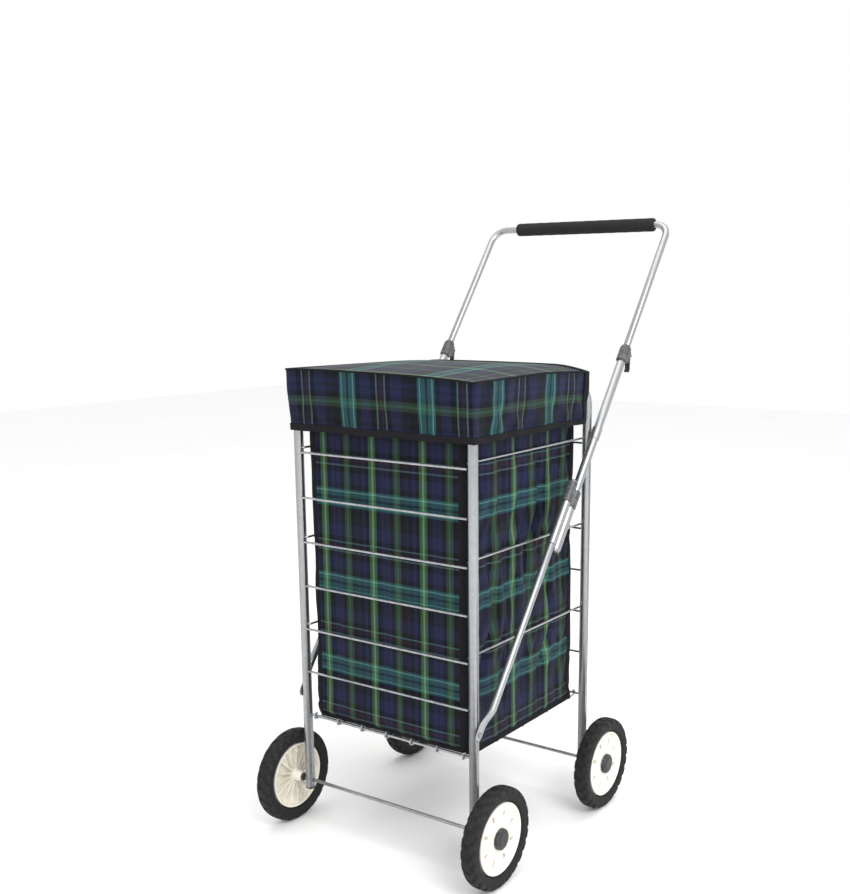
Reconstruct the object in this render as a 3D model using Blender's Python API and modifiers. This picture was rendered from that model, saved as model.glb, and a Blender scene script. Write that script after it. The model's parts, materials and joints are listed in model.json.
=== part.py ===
"""Folding four-wheel shopping trolley: a cage of tube and wire, a soft bag and a telescopic handle.

Metres, +Z up. X runs across the trolley, -Y is its front. The origin is on the floor, under the
middle of the whole trolley.
"""

import math

import bmesh
import bpy
from mathutils import Matrix, Vector

# Gap kept between two pieces that touch
GAP = 0.0003

# Wheels
WHEEL_RADIUS = 0.0825
TYRE_WIDTH = 0.027
RIM_RADIUS = 0.058
HUB_CAP_RADIUS = 0.0173
WHEEL_STEPS = 40
SLOT_COUNT = 8

# Two hoops of tube, one at the front and one at the back
LEG_SPACING = 0.350
LEG_X = LEG_SPACING / 2
LEG_RADIUS = 0.008
LEG_BOTTOM = 0.068
HOOP_TOP = 0.776
HOOP_BEND = 0.045

# Wires between the legs of a hoop, and the links that join the hoops
WIRE_RADIUS = 0.002
WIRE_TOP = 0.664
WIRE_PITCH = 0.076
WIRE_COUNT = 6
WIRE_FORWARD = WIRE_RADIUS + 0.0017
LINK_COUNT = 3
LINK_LIFT = 0.008
LINK_X = LEG_X - LEG_RADIUS - WIRE_RADIUS - 0.0005
LINK_BEND = 0.003
LINK_BORE = WIRE_RADIUS + 0.0004

# Axles
AXLE_RADIUS = 0.003

# Bag
BAG_HALF = LINK_X - WIRE_RADIUS - 0.0025
BAG_RIM = 0.7825
BAG_WALL = 0.002
BAG_CORNER = 0.022
BOARD_THICKNESS = 0.003

# Base grid, hooked round a wire of each hoop
BASE_Z = 0.2045
BASE_WIRE_RADIUS = 0.00225
GRID_WIRE_RADIUS = 0.0018
GRID_WIRES = 7
GRID_HALF_WIDTH = BAG_HALF - 0.004
GRID_CROSS_WIRES = 5
HOOK_RADIUS = BASE_WIRE_RADIUS + GRID_WIRE_RADIUS + 0.0004

# Handle and struts, parallel to each other
HANDLE_LEAN = math.radians(37.0)
PIVOT_Z = 0.682
TUBE_RADIUS = 0.0075
TUBE_WALL = 0.0009
STRUT_RADIUS = 0.0062
STRUT_TOP = -0.102
STRUT_OFFSET = TUBE_RADIUS + STRUT_RADIUS + 0.0033
SLEEVE_RADIUS = TUBE_RADIUS + 0.0013
GUIDE_RADIUS = TUBE_RADIUS + 0.0025
# The collar's flat face stands clear of the leg, and its thinnest wall lies behind that face
COLLAR_FACE = LEG_X + LEG_RADIUS + 0.0005
COLLAR_WALL = 0.0012
HANDLE_X = COLLAR_FACE + COLLAR_WALL + GAP + TUBE_RADIUS
TUBE_LOW = -0.229
TUBE_HIGH = 0.166
UPPER_RADIUS = TUBE_RADIUS - TUBE_WALL - 0.00035
UPPER_LOW = -0.030
GRIP_REACH = 0.4538
HANDLE_BEND = 0.028
GRIP_RADIUS = 0.0125
GRIP_LEFT = -0.138
GRIP_RIGHT = 0.162
SLEEVE_LOW = -0.226
SLEEVE_HIGH = -0.147
GUIDE_LOW = -0.145
GUIDE_HIGH = -0.112
CLAMP_MIDDLE = TUBE_HIGH

# The wheels turn just outside the handle's sleeves
WHEEL_X = HANDLE_X + SLEEVE_RADIUS + 0.0007 + TYRE_WIDTH / 2
AXLE_END = WHEEL_X + 0.0125

# Lid
LID_WALL = 0.0025
LID_HALF_WIDTH = LEG_X + LEG_RADIUS + 0.0045 + LID_WALL
LID_FRONT_OVERHANG = LEG_RADIUS + 0.0075 + LID_WALL
LID_BACK_INSET = LEG_RADIUS + 0.012
LID_UNDER = HOOP_TOP + LEG_RADIUS + 0.0008
LID_TOP = LID_UNDER + 0.0137
LID_SKIRT_BOTTOM = 0.702
LID_CORNER = 0.010

# The middle of the whole trolley, from the front tyre to the back of the grip, is at y = 0
OVERALL_DEPTH = (WHEEL_RADIUS + LEG_SPACING + GRIP_REACH * math.sin(HANDLE_LEAN)
                 + GRIP_RADIUS)
FRONT_Y = WHEEL_RADIUS - OVERALL_DEPTH / 2
REAR_Y = FRONT_Y + LEG_SPACING
MIDDLE_Y = (FRONT_Y + REAR_Y) / 2

PIVOT = Vector((0, REAR_Y, PIVOT_Z))
ALONG = Vector((0, math.sin(HANDLE_LEAN), math.cos(HANDLE_LEAN)))
FORWARD = Vector((0, -math.cos(HANDLE_LEAN), math.sin(HANDLE_LEAN)))
# Height of the rivet that holds a strut to the front leg
STRUT_PIVOT_Z = PIVOT_Z - (LEG_SPACING * math.cos(HANDLE_LEAN) - STRUT_OFFSET) / math.sin(HANDLE_LEAN)
# Distance of that rivet below the handle's pivot, along the handle
STRUT_PIVOT_S = Vector((0, -LEG_SPACING, STRUT_PIVOT_Z - PIVOT_Z)).dot(ALONG)

# Turns X, Y and Z onto the cross direction, the handle's upper side and the handle's length
LEANING = Matrix((Vector((1, 0, 0)), FORWARD, ALONG)).transposed().to_4x4()

SIDES = {"left": -1, "right": 1}

COLOURS = {
    "silver": ((0.62, 0.63, 0.64), 0.32, 0.9),
    "bright_wire": ((0.70, 0.71, 0.72), 0.25, 1.0),
    "rim_white": ((0.80, 0.78, 0.70), 0.45, 0.0),
    "tyre_black": ((0.025, 0.025, 0.026), 0.75, 0.0),
    "plastic_black": ((0.03, 0.03, 0.032), 0.45, 0.0),
    "foam_black": ((0.02, 0.02, 0.022), 0.9, 0.0),
    "tartan": ((0.05, 0.09, 0.12), 0.9, 0.0),
    "board_grey": ((0.10, 0.10, 0.11), 0.8, 0.0),
}


# ---------------------------------------------------------------- tools

def clear_scene():
    for obj in list(bpy.data.objects):
        bpy.data.objects.remove(obj, do_unlink=True)


def collection(name, hidden=False):
    found = bpy.data.collections.new(name)
    bpy.context.scene.collection.children.link(found)
    found.hide_render = hidden
    return found


def finish(obj, name, look):
    """Names the object, gives it its material and puts it with the parts."""
    obj.name = name
    obj.data.name = name
    colour, roughness, metallic = COLOURS[look]
    material = bpy.data.materials.new(name + "_" + look)
    material.use_nodes = True
    shader = material.node_tree.nodes["Principled BSDF"]
    shader.inputs["Base Color"].default_value = (*colour, 1)
    shader.inputs["Roughness"].default_value = roughness
    shader.inputs["Metallic"].default_value = metallic
    obj.data.materials.clear()
    obj.data.materials.append(material)
    for owner in list(obj.users_collection):
        owner.objects.unlink(obj)
    PARTS.objects.link(obj)
    return obj


def object_from(bm, name="piece"):
    mesh = bpy.data.meshes.new(name)
    bmesh.ops.recalc_face_normals(bm, faces=bm.faces)
    bm.to_mesh(mesh)
    bm.free()
    mesh.shade_smooth()
    mesh.set_sharp_from_angle(angle=math.radians(35))
    obj = bpy.data.objects.new(name, mesh)
    bpy.context.scene.collection.objects.link(obj)
    return obj


def tube(points, radius, sides=8):
    """A curve along the points, with a round bevel. A spline is a list of points."""
    splines = points if isinstance(points[0][0], (tuple, list, Vector)) else [points]
    data = bpy.data.curves.new("tube", "CURVE")
    data.dimensions = "3D"
    data.bevel_depth = radius
    data.bevel_resolution = (sides - 4) // 2
    data.use_fill_caps = True
    for spline_points in splines:
        spline = data.splines.new("POLY")
        spline.points.add(len(spline_points) - 1)
        for point, at in zip(spline.points, spline_points):
            point.co = (*at, 1)
    obj = bpy.data.objects.new("tube", data)
    bpy.context.scene.collection.objects.link(obj)
    return obj


def as_mesh(curve):
    """The curve as a mesh with its caps welded on. The curve is removed."""
    bpy.context.view_layer.update()
    graph = bpy.context.evaluated_depsgraph_get()
    mesh = bpy.data.meshes.new_from_object(curve.evaluated_get(graph))
    bm = bmesh.new()
    bm.from_mesh(mesh)
    bmesh.ops.remove_doubles(bm, verts=bm.verts, dist=0.00001)
    bm.to_mesh(mesh)
    bm.free()
    mesh.shade_smooth()
    mesh.set_sharp_from_angle(angle=math.radians(35))
    obj = bpy.data.objects.new("mesh", mesh)
    obj.matrix_world = curve.matrix_world
    bpy.context.scene.collection.objects.link(obj)
    bpy.data.objects.remove(curve, do_unlink=True)
    return obj


def rods(ends, sides=16):
    """Cylinders as one mesh. Each is (start, end, radius)."""
    bm = bmesh.new()
    for start, end, radius in ends:
        start, end = Vector(start), Vector(end)
        run = end - start
        turn = Vector((0, 0, 1)).rotation_difference(run).to_matrix().to_4x4()
        bmesh.ops.create_cone(
            bm, cap_ends=True, segments=sides, radius1=radius, radius2=radius,
            depth=run.length, matrix=Matrix.Translation((start + end) / 2) @ turn)
    return object_from(bm)


def boxes(parts):
    """Boxes as one mesh. Each is (centre, size, rotation matrix)."""
    bm = bmesh.new()
    for centre, size, turn in parts:
        bmesh.ops.create_cube(
            bm, size=1, matrix=Matrix.Translation(centre) @ turn @ Matrix.Diagonal((*size, 1)))
    return object_from(bm)


def combine(obj, other, operation):
    """Adds a Boolean. The other object becomes a hidden cutter."""
    modifier = obj.modifiers.new(operation.title(), "BOOLEAN")
    modifier.operation = operation
    modifier.solver = "EXACT"
    modifier.object = other
    other.name = "cutter"
    other.hide_render = True
    other.display_type = "WIRE"
    for owner in list(other.users_collection):
        owner.objects.unlink(other)
    CUTTERS.objects.link(other)


def turned(profile, axis_point, direction, steps=24, half_step=False):
    """Turns a profile of (radius, distance along direction) with a Screw. It is closed, or starts
    and ends on the axis."""
    area = sum(a[0] * b[1] - b[0] * a[1] for a, b in zip(profile, profile[1:] + profile[:1]))
    if area > 0:
        profile = profile[::-1]
    bm = bmesh.new()
    offset = math.pi / steps if half_step else 0
    points = [bm.verts.new((r * math.cos(offset), r * math.sin(offset), z)) for r, z in profile]
    on_axis = profile[0][0] == 0 and profile[-1][0] == 0
    for first, second in zip(points, points[1:] + ([] if on_axis else points[:1])):
        bm.edges.new((first, second))
    mesh = bpy.data.meshes.new("turned")
    bm.to_mesh(mesh)
    bm.free()
    obj = bpy.data.objects.new("turned", mesh)
    bpy.context.scene.collection.objects.link(obj)
    screw = obj.modifiers.new("Screw", "SCREW")
    screw.axis = "Z"
    screw.steps = screw.render_steps = steps
    screw.use_merge_vertices = True
    screw.merge_threshold = 0.00001
    screw.use_smooth_shade = True
    place(obj, axis_point, direction)
    return obj


def place(obj, point, direction):
    """Puts the object's own Z along the direction, at the point."""
    turn = Vector((0, 0, 1)).rotation_difference(Vector(direction))
    if Vector(direction).x < 0:
        # The opposite way along X is a half turn about Z, so that facets stay level
        turn = Matrix.Rotation(math.pi, 4, "Z").to_quaternion() @ Vector(
            (0, 0, 1)).rotation_difference(-Vector(direction))
    obj.location = point
    obj.rotation_mode = "QUATERNION"
    obj.rotation_quaternion = turn


def move_origin(obj, point):
    """Puts the object's origin on its joint axis."""
    bpy.context.view_layer.update()
    shift = obj.matrix_world.inverted() @ Vector(point)
    obj.data.transform(Matrix.Translation(-shift))
    obj.matrix_world = obj.matrix_world @ Matrix.Translation(shift)


def arc(centre, radius, start, end, steps, plane):
    """Points on an arc in the plane of two unit vectors."""
    first, second = plane
    found = []
    for i in range(steps + 1):
        angle = start + (end - start) * i / steps
        found.append(Vector(centre) + radius * (math.cos(angle) * first + math.sin(angle) * second))
    return found


def on_handle(side, s, forward=0.0, outward=0.0):
    """A point at distance s along the handle from its pivot."""
    return (Vector((side * (HANDLE_X + outward), 0, 0)) + PIVOT
            + s * ALONG + forward * FORWARD)


def link_height(number):
    return WIRE_TOP + LINK_LIFT - 2 * WIRE_PITCH * (number - 1)


# ---------------------------------------------------------------- frame

def hoop(name, y):
    across, up = Vector((1, 0, 0)), Vector((0, 0, 1))
    bend_z = HOOP_TOP - HOOP_BEND
    inner = LEG_X - HOOP_BEND
    points = [Vector((-LEG_X, y, LEG_BOTTOM))]
    points += arc((-inner, y, bend_z), HOOP_BEND, math.pi, math.pi / 2, 6, (across, up))
    points += arc((inner, y, bend_z), HOOP_BEND, math.pi / 2, 0, 6, (across, up))
    points += [Vector((LEG_X, y, LEG_BOTTOM))]
    obj = as_mesh(tube(points, LEG_RADIUS, sides=14))
    bores = [((-LEG_X - 0.02, y, WHEEL_RADIUS), (LEG_X + 0.02, y, WHEEL_RADIUS), AXLE_RADIUS + 0.0004)]
    for side in SIDES.values():
        for number in range(1, LINK_COUNT + 1):
            z = link_height(number)
            bores.append(((side * (LEG_X - 2 * LEG_RADIUS), y, z), (side * (LEG_X - 0.0013), y, z), LINK_BORE))
        outer = [(STRUT_PIVOT_Z, 0.0024)] if name == "front_hoop" else [(PIVOT_Z, 0.0034)]
        for z, radius in outer:
            bores.append(((side * (LEG_X + 0.0013), y, z), (side * (LEG_X + 2 * LEG_RADIUS), y, z), radius))
    combine(obj, rods(bores, sides=12), "DIFFERENCE")
    return finish(obj, name, "silver")


def straight_wire(name, y, z, half_length, radius):
    return finish(tube([(-half_length, y, z), (half_length, y, z)], radius), name, "bright_wire")


def hoop_wires():
    half = LEG_X - math.sqrt(LEG_RADIUS ** 2 - (WIRE_FORWARD - WIRE_RADIUS) ** 2) - GAP
    level = LEG_X - LEG_RADIUS - GAP
    for number in range(1, WIRE_COUNT + 1):
        z = WIRE_TOP - WIRE_PITCH * (number - 1)
        straight_wire(f"front_wire_{number}", FRONT_Y - WIRE_FORWARD, z, half, WIRE_RADIUS)
        straight_wire(f"rear_wire_{number}", REAR_Y, z, level, WIRE_RADIUS)
    straight_wire("front_base_wire", FRONT_Y, BASE_Z, level, BASE_WIRE_RADIUS)
    straight_wire("rear_base_wire", REAR_Y, BASE_Z, level, BASE_WIRE_RADIUS)


def side_link(name, side, z):
    """A wire along the side, with both ends turned out into the legs."""
    out, back = Vector((side, 0, 0)), Vector((0, 1, 0))
    tip, bend = LEG_X - 0.002, LINK_X + LINK_BEND
    points = [Vector((side * tip, FRONT_Y, z))]
    points += arc((side * bend, FRONT_Y + LINK_BEND, z), LINK_BEND, -math.pi / 2, -math.pi, 3, (out, back))
    points += arc((side * bend, REAR_Y - LINK_BEND, z), LINK_BEND, math.pi, math.pi / 2, 3, (out, back))
    points += [Vector((side * tip, REAR_Y, z))]
    obj = as_mesh(tube(points, WIRE_RADIUS))
    move_origin(obj, (side * LINK_X, REAR_Y, z))
    return finish(obj, name, "bright_wire")


def base_grid():
    """Lengthwise wires that curl round the base wires of both hoops, on cross wires."""
    back, up = Vector((0, 1, 0)), Vector((0, 0, 1))
    lengthwise = []
    for number in range(GRID_WIRES):
        x = GRID_HALF_WIDTH * (2 * number / (GRID_WIRES - 1) - 1)
        front = arc((x, FRONT_Y, BASE_Z), HOOK_RADIUS, math.radians(60), math.radians(270), 5, (back, up))
        rear = arc((x, REAR_Y, BASE_Z), HOOK_RADIUS, math.radians(-90), math.radians(120), 5, (back, up))
        lengthwise.append(front + rear)
    grid = as_mesh(tube(lengthwise, GRID_WIRE_RADIUS, sides=6))
    cross_z = BASE_Z - HOOK_RADIUS - 1.4 * GRID_WIRE_RADIUS
    reach = GRID_HALF_WIDTH + 0.0015
    margin = 0.016
    cross = []
    for number in range(GRID_CROSS_WIRES):
        y = FRONT_Y + margin + (LEG_SPACING - 2 * margin) * number / (GRID_CROSS_WIRES - 1)
        cross.append([(-reach, y, cross_z), (reach, y, cross_z)])
    combine(grid, as_mesh(tube(cross, GRID_WIRE_RADIUS, sides=6)), "UNION")
    move_origin(grid, (0, REAR_Y, BASE_Z))
    return finish(grid, "base_grid", "bright_wire")


def axle(name, y):
    ends = [((-AXLE_END, y, WHEEL_RADIUS), (AXLE_END, y, WHEEL_RADIUS), AXLE_RADIUS)]
    return finish(rods(ends), name, "bright_wire")


# ---------------------------------------------------------------- wheels

def wheel(place_name, side, y):
    """Rim, tyre and hub cap. Their profiles are (radius, distance outward from the wheel's middle)."""
    centre = Vector((side * WHEEL_X, y, WHEEL_RADIUS))
    outward = Vector((side, 0, 0))
    bore = AXLE_RADIUS + GAP
    half = TYRE_WIDTH / 2
    seat = half - 0.0027
    rim = [
        (bore, -0.0225), (0.0085, -0.0225), (0.0115, -0.010), (0.0135, 0.0035), (0.036, 0.0030),
        (RIM_RADIUS - 0.006, 0.0010), (RIM_RADIUS - 0.0025, -seat), (RIM_RADIUS, -seat),
        (RIM_RADIUS, seat), (RIM_RADIUS - 0.003, seat), (RIM_RADIUS - 0.0055, 0.0060),
        (0.036, 0.0068), (0.018, 0.0080), (bore, 0.0080),
    ]
    rim_obj = turned(rim, centre, outward, steps=24)
    slots = []
    for number in range(SLOT_COUNT):
        turn = Matrix.Rotation(2 * math.pi * (number + 0.5) / SLOT_COUNT, 4, "X")
        slots.append((centre + turn @ Vector((side * 0.004, 0, RIM_RADIUS - 0.016)), (0.03, 0.0038, 0.012), turn))
    combine(rim_obj, boxes(slots), "DIFFERENCE")
    finish(rim_obj, f"rim_{place_name}", "rim_white")

    # The tread is faceted, with one facet level at the bottom, so its corners are a little further out
    outer = WHEEL_RADIUS / math.cos(math.pi / WHEEL_STEPS)
    inner = RIM_RADIUS + GAP
    bulge, shoulder = inner + 0.0057, WHEEL_RADIUS - 0.0055
    tyre = [
        (inner, -seat), (bulge, -half + 0.0004), (shoulder, -half + 0.0009), (outer, -half + 0.0050),
        (outer, half - 0.0050), (shoulder, half - 0.0009), (bulge, half - 0.0004), (inner, seat),
    ]
    finish(turned(tyre, centre, outward, steps=WHEEL_STEPS, half_step=True), f"tyre_{place_name}", "tyre_black")

    face = 0.0080 + GAP
    recess = AXLE_RADIUS + 0.0008
    cap = [
        (0, 0.0165), (HUB_CAP_RADIUS - 0.0053, 0.0163), (HUB_CAP_RADIUS - 0.0013, 0.0150),
        (HUB_CAP_RADIUS, 0.0125), (HUB_CAP_RADIUS, face), (recess, face), (recess, 0.0132), (0, 0.0132),
    ]
    finish(turned(cap, centre, outward, steps=16), f"hub_cap_{place_name}", "plastic_black")


# ---------------------------------------------------------------- handle and struts

def lofted(sections, sides=16):
    """Skins a row of ovals. Each is (centre, half size along u, half size along v), u and v vectors."""
    bm = bmesh.new()
    rings = []
    for centre, u, v in sections:
        ring = []
        for i in range(sides):
            angle = 2 * math.pi * i / sides
            ring.append(bm.verts.new(centre + math.cos(angle) * u + math.sin(angle) * v))
        rings.append(ring)
    for low, high in zip(rings, rings[1:]):
        for i in range(sides):
            j = (i + 1) % sides
            bm.faces.new((low[i], low[j], high[j], high[i]))
    bm.faces.new(rings[0][::-1])
    bm.faces.new(rings[-1])
    return object_from(bm)


def strut(name, side):
    """A tube whose lower end is flattened and set inward, against the front leg."""
    out = Vector((side, 0, 0))
    plate_out = LEG_X + LEG_RADIUS + 0.0020 - HANDLE_X
    length = STRUT_TOP - STRUT_PIVOT_S
    # (distance from the rivet, outward shift, half width, half thickness)
    shape = [
        (-0.0100, plate_out, 0.0030, 0.0010), (-0.0080, plate_out, 0.0062, 0.0014),
        (-0.0040, plate_out, 0.0084, 0.0014), (0.0, plate_out, 0.0090, 0.0014),
        (0.0140, plate_out, 0.0088, 0.0014), (0.0240, plate_out * 0.75, 0.0080, 0.0028),
        (0.0360, plate_out * 0.2, 0.0068, 0.0052), (0.0440, 0, STRUT_RADIUS, STRUT_RADIUS),
        (length - 0.0020, 0, STRUT_RADIUS, STRUT_RADIUS),
        (length, 0, STRUT_RADIUS - 0.0015, STRUT_RADIUS - 0.0015),
    ]
    sections = [
        (on_handle(side, STRUT_PIVOT_S + s, STRUT_OFFSET, shift), wide * FORWARD, thick * out)
        for s, shift, wide, thick in shape
    ]
    obj = lofted(sections)
    pivot = Vector((side * (LEG_X + LEG_RADIUS), FRONT_Y, STRUT_PIVOT_Z))
    combine(obj, rods([(pivot - 0.02 * out, pivot + 0.02 * out, 0.0024)], sides=12), "DIFFERENCE")
    move_origin(obj, pivot)
    return finish(obj, name, "silver")


def strut_rivet(name, side):
    start = LEG_X + 0.0020
    head = LEG_X + LEG_RADIUS + 0.0034 + GAP
    profile = [
        (0, 0), (0.0020, 0), (0.0020, head - start), (0.0045, head - start),
        (0.0040, head - start + 0.0012), (0.0022, head - start + 0.0020), (0, head - start + 0.0022),
    ]
    at = Vector((side * start, FRONT_Y, STRUT_PIVOT_Z))
    return finish(turned(profile, at, (side, 0, 0), steps=16), name, "silver")


def pipe(side, low, high, inner, outer, steps=16, forward=0.0):
    profile = [(inner, low), (outer, low), (outer, high), (inner, high)]
    return turned(profile, on_handle(side, 0, forward), ALONG, steps=steps)


def cradle(side, low, high, body_radius, trough_wall, web):
    """A barrel round the handle tube, with a trough beside it in which the strut lies. The trough is
    open away from the handle, because the strut leaves it sideways while the trolley folds."""
    obj = pipe(side, low, high, TUBE_RADIUS - 0.0005, body_radius)
    middle = (low + high) / 2
    trough_radius = STRUT_RADIUS + 0.0006
    half_width = trough_radius + trough_wall
    depth = STRUT_OFFSET - TUBE_RADIUS + 0.001
    block = boxes([(on_handle(side, middle, STRUT_OFFSET - depth / 2),
                    (2 * half_width, depth, high - low - web), LEANING)])
    combine(obj, block, "UNION")
    run = 0.01
    bores = rods([
        (on_handle(side, low - run), on_handle(side, high + run), TUBE_RADIUS + GAP),
        (on_handle(side, low - run, STRUT_OFFSET), on_handle(side, high + run, STRUT_OFFSET), trough_radius),
    ], sides=16)
    combine(obj, bores, "DIFFERENCE")
    return obj


def handle_tube(name, side):
    obj = pipe(side, TUBE_LOW, TUBE_HIGH, TUBE_RADIUS - TUBE_WALL, TUBE_RADIUS)
    return finish(obj, name, "silver")


def handle_collar(name, side):
    """A ring round the handle tube, with a boss and a pin that turns in the rear leg."""
    out = Vector((side, 0, 0))
    radius = TUBE_RADIUS + 0.0025
    obj = pipe(side, -0.016, 0.016, TUBE_RADIUS - 0.0005, radius)
    boss = rods([(PIVOT + COLLAR_FACE * out, PIVOT + (HANDLE_X - 0.001) * out, radius - 0.0008)], sides=16)
    combine(obj, boss, "UNION")
    depth = 4 * radius
    slab = boxes([(PIVOT + (COLLAR_FACE - depth / 2) * out, (depth, 2 * depth, 2 * depth), Matrix.Identity(4))])
    combine(obj, slab, "DIFFERENCE")
    bore = rods([(on_handle(side, -0.03), on_handle(side, 0.03), TUBE_RADIUS + GAP)], sides=16)
    combine(obj, bore, "DIFFERENCE")
    pin_end = COLLAR_FACE + COLLAR_WALL - 0.0004
    pin = rods([(PIVOT + (LEG_X + 0.0020) * out, PIVOT + pin_end * out, 0.0030)], sides=12)
    combine(obj, pin, "UNION")
    return finish(obj, name, "plastic_black")


def lever_hinge(side):
    return on_handle(side, CLAMP_MIDDLE + 0.004, -TUBE_RADIUS - 0.0065)


def clamp(name, side):
    """A stepped collar over the top of the lower tube, with two cheeks behind it for the lever."""
    low, high = CLAMP_MIDDLE - 0.017, CLAMP_MIDDLE + 0.014
    radius = TUBE_RADIUS + 0.0026
    body = [(0, low), (radius - 0.0005, low), (radius, low + 0.002), (radius, high - 0.004),
            (radius - 0.0013, high), (0, high)]
    obj = turned(body, on_handle(side, 0), ALONG, steps=20)
    cheeks = [(on_handle(side, CLAMP_MIDDLE + 0.004, -TUBE_RADIUS - 0.005, outward),
               (0.0025, 0.010, 0.012), LEANING) for outward in (-0.0065, 0.0065)]
    combine(obj, boxes(cheeks), "UNION")
    hinge, across = lever_hinge(side), Vector((0.012, 0, 0))
    combine(obj, rods([(hinge - across, hinge + across, 0.0019)], sides=12), "DIFFERENCE")
    below, above = on_handle(side, low - 0.01), on_handle(side, high + 0.01)
    combine(obj, rods([(below, above, UPPER_RADIUS + 0.0004)], sides=16), "DIFFERENCE")
    combine(obj, rods([(below, on_handle(side, TUBE_HIGH + GAP), TUBE_RADIUS + GAP)], sides=16), "DIFFERENCE")
    return finish(obj, name, "plastic_black")


def clamp_lever(name, side):
    """A cam with a thumb tab that lies down behind the clamp."""
    hinge, across = lever_hinge(side), Vector((1, 0, 0))
    obj = rods([(hinge - 0.0049 * across, hinge + 0.0049 * across, 0.0034)], sides=16)
    pin = rods([(hinge - 0.0074 * across, hinge + 0.0074 * across, 0.0015)], sides=12)
    combine(obj, pin, "UNION")
    tab = boxes([(on_handle(side, CLAMP_MIDDLE - 0.009, -TUBE_RADIUS - 0.0077),
                  (0.0096, 0.0036, 0.026), LEANING)])
    combine(obj, tab, "UNION")
    move_origin(obj, hinge)
    return finish(obj, name, "plastic_black")


def handle_upper():
    """One bent tube: both arms slide in the lower tubes."""
    across = Vector((1, 0, 0))
    inner = HANDLE_X - HANDLE_BEND
    bend_s = GRIP_REACH - HANDLE_BEND
    points = [on_handle(-1, UPPER_LOW)]
    points += arc(PIVOT + bend_s * ALONG - inner * across, HANDLE_BEND, math.pi, math.pi / 2, 6, (across, ALONG))
    points += arc(PIVOT + bend_s * ALONG + inner * across, HANDLE_BEND, math.pi / 2, 0, 6, (across, ALONG))
    points += [on_handle(1, UPPER_LOW)]
    return finish(tube(points, UPPER_RADIUS, sides=12), "handle_upper", "silver")


def grip():
    bore = UPPER_RADIUS + 0.0004
    soft = 0.0025
    length = GRIP_RIGHT - GRIP_LEFT
    profile = [
        (bore, 0), (GRIP_RADIUS - soft, 0), (GRIP_RADIUS, soft), (GRIP_RADIUS, length - soft),
        (GRIP_RADIUS - soft, length), (bore, length),
    ]
    at = PIVOT + GRIP_REACH * ALONG + Vector((GRIP_LEFT, 0, 0))
    return finish(turned(profile, at, (1, 0, 0), steps=20), "grip", "foam_black")


# ---------------------------------------------------------------- bag and lid

def open_box(low, high, open_sides, corner, wall, upright_only):
    """A thin box with some sides left open and its edges rounded. Its outer faces are at low and high."""
    low, high = Vector(low), Vector(high)
    bm = bmesh.new()
    bmesh.ops.create_cube(bm, size=1, matrix=Matrix.Translation((low + high) / 2)
                          @ Matrix.Diagonal((*(high - low), 1)))
    missing = [f for f in bm.faces if any(f.normal.dot(Vector(way)) > 0.9 for way in open_sides)]
    bmesh.ops.delete(bm, geom=missing, context="FACES_ONLY")
    edges = [e for e in bm.edges if len(e.link_faces) == 2
             and (not upright_only or abs((e.verts[0].co - e.verts[1].co).z) > 0.01)]
    bmesh.ops.bevel(bm, geom=edges, offset=corner, segments=3, profile=0.5, affect="EDGES",
                    clamp_overlap=True)
    obj = object_from(bm)
    # recalc can turn an open surface's normals inward, so they are turned to face out
    mesh = obj.data
    middle = (low + high) / 2
    facing = sum((Vector(p.center) - middle).dot(p.normal) * p.area for p in mesh.polygons)
    if facing < 0:
        mesh.flip_normals()
    shell = obj.modifiers.new("Solidify", "SOLIDIFY")
    shell.thickness = wall
    shell.offset = -1
    shell.use_even_offset = True
    return obj


def bag():
    floor = BASE_Z - HOOK_RADIUS + GRID_WIRE_RADIUS + GAP
    obj = open_box((-BAG_HALF, MIDDLE_Y - BAG_HALF, floor), (BAG_HALF, MIDDLE_Y + BAG_HALF, BAG_RIM),
                   [(0, 0, 1)], BAG_CORNER, BAG_WALL, upright_only=True)
    finish(obj, "bag", "tartan")
    half = BAG_HALF - 0.0045
    z = floor + BAG_WALL + GAP + BOARD_THICKNESS / 2
    board = boxes([(Vector((0, MIDDLE_Y, z)), (2 * half, 2 * half, BOARD_THICKNESS), Matrix.Identity(4))])
    bevel = board.modifiers.new("Bevel", "BEVEL")
    bevel.width = BAG_CORNER
    bevel.segments = 3
    bevel.affect = "EDGES"
    bevel.limit_method = "WEIGHT"
    weights = board.data.attributes.new("bevel_weight_edge", "FLOAT", "EDGE")
    for edge in board.data.edges:
        first, second = (board.data.vertices[i].co for i in edge.vertices)
        weights.data[edge.index].value = 1.0 if abs(first.z - second.z) > 0.001 else 0.0
    move_origin(board, (0, REAR_Y, BASE_Z))
    finish(board, "bag_base_board", "board_grey")


def lid():
    """A flap over the top, with skirts at the front and sides, hinged along its back edge."""
    back = REAR_Y - LID_BACK_INSET
    obj = open_box((-LID_HALF_WIDTH, FRONT_Y - LID_FRONT_OVERHANG, LID_SKIRT_BOTTOM),
                   (LID_HALF_WIDTH, back, LID_TOP),
                   [(0, 0, -1), (0, 1, 0)], LID_CORNER, LID_WALL, upright_only=False)
    move_origin(obj, (0, REAR_Y - LID_BACK_INSET, LID_UNDER))
    return finish(obj, "lid", "tartan")


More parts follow.
